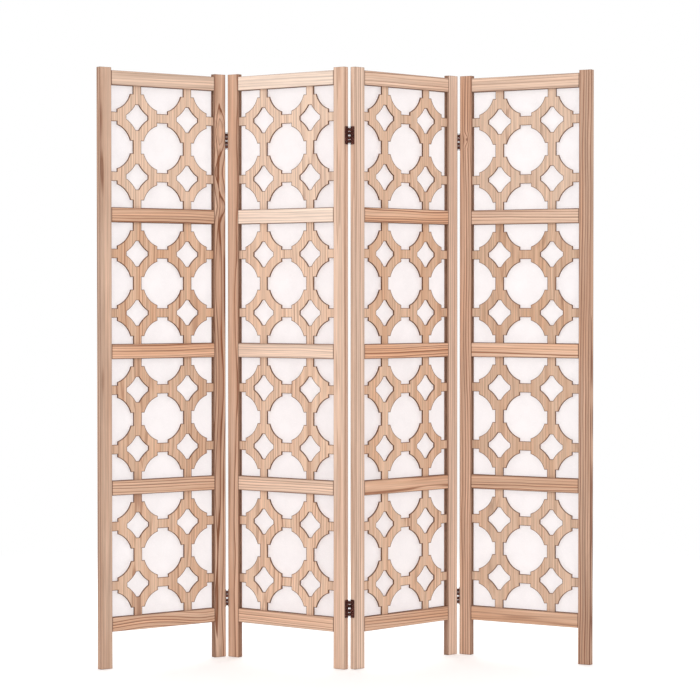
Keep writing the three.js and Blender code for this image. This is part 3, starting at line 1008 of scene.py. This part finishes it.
KNUCKLE_LENGTH = (BARREL_LENGTH - MIDDLE_GAP - 2 * KNUCKLE_GAP) / 4
LEAF_OUTER = HINGE_GAP / 2 - GAP
LEAF_INNER = LEAF_OUTER - LEAF_THICKNESS
LEAF_EDGE = BARREL_RADIUS + LEAF_CLEARANCE
LEAF_CORNER = 3
LEAF_CORNER_STEPS = 6
BARREL_EASE = 0.25
BARREL_SIDES = 24
SCREW_HOLE_RADIUS = 1.9
SCREW_HOLE_SIDES = 20
SCREW_HOLE_RIM = 0.6
SCREW_LENGTH = 12
SCREW_SIDES = 24
SCREW_SINK = 0.02  # of the head below the leaf's face
SCREW_TURN = 0.4  # of the first crosshead, in radians
SCREW_TURN_STEP = 0.9
# (radius, height) from the rim of the head, over its cone, to the start of the tip
SCREW_PROFILE = [(2.4, 0.0), (2.6, -0.15), (1.25, -1.3), (1.2, 3 - SCREW_LENGTH)]
RECESS_MOUTH = (1.35, 0.28)  # the cross's reach and half width
RECESS_FLOOR = (0.9, 0.2)
RECESS_DEPTH = 0.55


def knuckle_pair(low):
    """Both of a leaf's knuckles, from where the one above the middle starts."""
    return [(-low - KNUCKLE_LENGTH, -low), (low, low + KNUCKLE_LENGTH)]


INNER_KNUCKLES = knuckle_pair(MIDDLE_GAP / 2)
OUTER_KNUCKLES = knuckle_pair(BARREL_LENGTH / 2 - KNUCKLE_LENGTH)


def leaf_outline(knuckles):
    """(across, along) points of a leaf: a tab at each knuckle, and two round far corners."""
    half = HINGE_LENGTH / 2
    far = PIN_OFFSET + LEAF_REACH
    points = [(LEAF_EDGE, -half)]
    for low, high in knuckles:
        points += [(LEAF_EDGE, low), (BORE_RADIUS, low), (BORE_RADIUS, high), (LEAF_EDGE, high)]
    points.append((LEAF_EDGE, half))
    outline = [Vector(point) for point in reversed(points)]
    corner_low = Vector((far - LEAF_CORNER, -half + LEAF_CORNER))
    corner_high = Vector((far - LEAF_CORNER, half - LEAF_CORNER))
    outline += arc(corner_low, LEAF_CORNER, -math.pi / 2, 0, LEAF_CORNER_STEPS)
    outline += arc(corner_high, LEAF_CORNER, 0, math.pi / 2, LEAF_CORNER_STEPS)
    return outline


def hinge_leaf(number, node, pin_x, pin_y, z, side, back, carries_pin):
    """One leaf with its knuckles. side is -1 where the leaf lies on the pin's left, and back is
    -1 where it reaches towards the front."""
    def place(x, y, height):
        return (pin_x + side * x, pin_y + back * y, z + height)

    knuckles = OUTER_KNUCKLES if carries_pin else INNER_KNUCKLES
    bm = bmesh.new()
    holes = [circle(Vector((PIN_OFFSET + across, along)), SCREW_HOLE_RADIUS, SCREW_HOLE_SIDES)
             for across, along in SCREW_PLACES]
    pierced_plate(
        bm, leaf_outline(knuckles), holes, LEAF_INNER, LEAF_OUTER, SCREW_HOLE_RIM,
        lambda across, along, depth: place(depth, across, along))
    outer, ease = BARREL_RADIUS, BARREL_EASE
    bore = PIN_RADIUS if carries_pin else BORE_RADIUS
    for low, high in knuckles:
        lathe(bm, [
            (bore, low), (outer - ease, low), (outer, low + ease), (outer, high - ease),
            (outer - ease, high), (bore, high), (bore, low)], BARREL_SIDES, place)
    if carries_pin:
        end = PIN_LENGTH / 2
        lathe(bm, [
            (0, -end), (PIN_RADIUS - ease, -end), (PIN_RADIUS, ease - end), (PIN_RADIUS, end - ease),
            (PIN_RADIUS - ease, end), (0, end)], BARREL_SIDES, place)
    bmesh.ops.remove_doubles(bm, verts=bm.verts, dist=1e-5)
    mesh = scaled_mesh(bm, node)
    add_piece(f"{node}_metal", mesh, number, [STEEL], "bronzed_steel", node, baked=True)


def cross_outline(reach, half_width):
    points = []
    for side in range(4):
        points.append(turned(half_width, -half_width, side))
        points.append(turned(reach, -half_width, side))
        points.append(turned(reach, half_width, side))
    return points


def screw(bm, place):
    """A countersunk screw with a crosshead. place turns (x, y, height above the leaf) into a
    point."""
    rings = [
        ring(bm, circle(Vector((0, 0)), radius, SCREW_SIDES), height, place)
        for radius, height in SCREW_PROFILE]
    for first, second in zip(rings, rings[1:]):
        bridge(bm, first, second)
    tip = bm.verts.new(place(0, 0, -SCREW_LENGTH))
    for i in range(SCREW_SIDES):
        bm.faces.new((rings[-1][i], rings[-1][(i + 1) % SCREW_SIDES], tip))
    mouth = ring(bm, cross_outline(*RECESS_MOUTH), 0.0, place)
    floor = ring(bm, cross_outline(*RECESS_FLOOR), -RECESS_DEPTH, place)
    bridge(bm, mouth, floor)
    bm.faces.new(floor)
    edges = loop_edges(bm, rings[0]) + loop_edges(bm, mouth)
    bmesh.ops.triangle_fill(bm, use_beauty=True, use_dissolve=False, edges=edges)


def hinge_screws(number, name, pin_x, pin_y, z, side, back):
    bm = bmesh.new()
    for index, (across, along) in enumerate(SCREW_PLACES):
        turn = Matrix.Rotation(SCREW_TURN + index * SCREW_TURN_STEP, 2)

        def place(x, y, height, across=across, along=along, turn=turn):
            x, y = turn @ Vector((x, y))
            depth = LEAF_INNER + SCREW_SINK - height
            return (pin_x + side * depth, pin_y + back * (PIN_OFFSET + across + x), z + along + y)

        screw(bm, place)
    mesh = scaled_mesh(bm, name)
    add_piece(name, mesh, number, [STEEL], "bronzed_steel", baked=True)


def hinges():
    """Two hinges at each joint. Each is held by three screws in each leaf."""
    for joint, joint_name in enumerate(JOINTS):
        pin_in_front = joint != 1
        pin_y = -PIN_OFFSET if pin_in_front else FRAME_THICKNESS + PIN_OFFSET
        back = 1 if pin_in_front else -1
        for z, level in zip(HINGE_CENTRES_Z, ("lower", "upper")):
            leaves = [
                (joint + 1, "pin_leaf", PANEL_WIDTH + HINGE_GAP / 2, -1, True),
                (joint + 2, "plain_leaf", -HINGE_GAP / 2, 1, False)]
            for number, leaf, pin_x, side, carries_pin in leaves:
                node = f"{joint_name}_joint_{level}_hinge_{leaf}"
                hinge_leaf(number, node, pin_x, pin_y, z, side, back, carries_pin)
                hinge_screws(number, f"{node}_screws", pin_x, pin_y, z, side, back)


# ---- the screen ----

for panel in PANELS:
    stile(panel, "left_stile", left_side=True)
    stile(panel, "right_stile", left_side=False)
    for rail_level in range(CELLS_PER_PANEL + 1):
        rail(panel, rail_level)
    for lattice_cell in range(CELLS_PER_PANEL):
        lattice(panel, lattice_cell)
    backing_sheet(panel)
    staples(panel)
hinges()


# ---- stage ----

CAMERA_PLACE = (0.0026, -6.86, 1.0534)
CAMERA_PITCH = 1.283
CAMERA_TURN = -0.0565
FOCAL_LENGTH = 122.42
SENSOR_WIDTH = 36.0
FLOOR_RADIUS = 7.0
FLOOR_DROP = 0.0005
FLOOR_SHADE = 0.93  # where the camera sees it, with some glow of its own
FLOOR_GLOW = 0.12
FLOOR_BOUNCE = 0.86  # in the light that it throws back onto the screen
FLOOR_FADE = (1.3, 3.2)  # metres from the middle where it turns white
WORLD_LIGHT = 0.92
SOFTBOX_SIZE = 2.8
# name, place, height of the point on the middle axis that it faces, and power
SOFTBOXES = [
    ("key", (-2.6, -4.6, 3.4), 1.1, 58),
    ("fill", (3.4, -4.4, 3.2), 1.1, 50),
    ("back", (0.0, 3.6, 1.7), 0.8, 84),
]


def add_camera():
    data = bpy.data.cameras.new("camera")
    data.lens = FOCAL_LENGTH
    data.sensor_width = SENSOR_WIDTH
    data.sensor_fit = "HORIZONTAL"
    data.clip_end = 100
    camera = bpy.data.objects.new("camera", data)
    camera.location = CAMERA_PLACE
    camera.rotation_euler = (math.radians(90 - CAMERA_PITCH), 0, math.radians(CAMERA_TURN))
    SCENE.collection.objects.link(camera)
    SCENE.camera = camera


def seen_directly(shader):
    """1 for rays that see the surface straight, in a mirror or through glass."""
    path = shader.node("ShaderNodeLightPath").outputs
    seen = shader.math("ADD", path["Is Camera Ray"], path["Is Glossy Ray"])
    return shader.math("ADD", seen, path["Is Transmission Ray"], clamp=True)


def add_floor():
    """A pale floor that turns plain white well away from the screen."""
    bm = bmesh.new()
    bmesh.ops.create_circle(bm, cap_ends=True, radius=FLOOR_RADIUS, segments=96)
    mesh = bpy.data.meshes.new("floor")
    bm.to_mesh(mesh)
    bm.free()
    shader = Shader(bpy.data.materials.new("floor"))
    distance = shader.vector("LENGTH", shader.object_place())
    plain = shader.node("ShaderNodeBsdfDiffuse", {"Color": grey(FLOOR_SHADE)})
    bounce = shader.node("ShaderNodeBsdfDiffuse", {"Color": grey(FLOOR_BOUNCE)})
    glow = shader.node("ShaderNodeEmission", {"Color": grey(1.0), "Strength": FLOOR_GLOW})
    near = shader.node("ShaderNodeAddShader", {0: plain.outputs[0], 1: glow.outputs[0]})
    white = shader.node("ShaderNodeEmission", {"Color": grey(1.0), "Strength": 1.0})
    faded = shader.smooth(distance, *FLOOR_FADE)
    seen = shader.mix_surfaces(faded, near.outputs[0], white.outputs[0])
    surface = shader.mix_surfaces(seen_directly(shader), bounce.outputs[0], seen)
    mesh.materials.append(shader.finish(surface))
    floor = bpy.data.objects.new("floor", mesh)
    floor.location.z = -FLOOR_DROP
    SCENE.collection.objects.link(floor)


def add_world():
    """White where it is seen, and a little less than white as a light."""
    SCENE.world = bpy.data.worlds.new("studio")
    shader = Shader(SCENE.world)
    fill = shader.node("ShaderNodeBackground", {"Color": grey(1.0), "Strength": WORLD_LIGHT})
    white = shader.node("ShaderNodeBackground", {"Color": grey(1.0), "Strength": 1.0})
    surface = shader.mix_surfaces(seen_directly(shader), fill.outputs[0], white.outputs[0])
    shader.finish(surface, "ShaderNodeOutputWorld")


def add_softbox(name, place, target_height, power):
    data = bpy.data.lights.new(name, "AREA")
    data.shape = "SQUARE"
    data.size = SOFTBOX_SIZE
    data.energy = power
    lamp = bpy.data.objects.new(name, data)
    lamp.location = place
    direction = Vector((0, 0, target_height)) - Vector(place)
    lamp.rotation_euler = direction.to_track_quat("-Z", "Y").to_euler()
    SCENE.collection.objects.link(lamp)


add_camera()
add_floor()
add_world()
for softbox in SOFTBOXES:
    add_softbox(*softbox)
SCENE.view_settings.view_transform = "Standard"
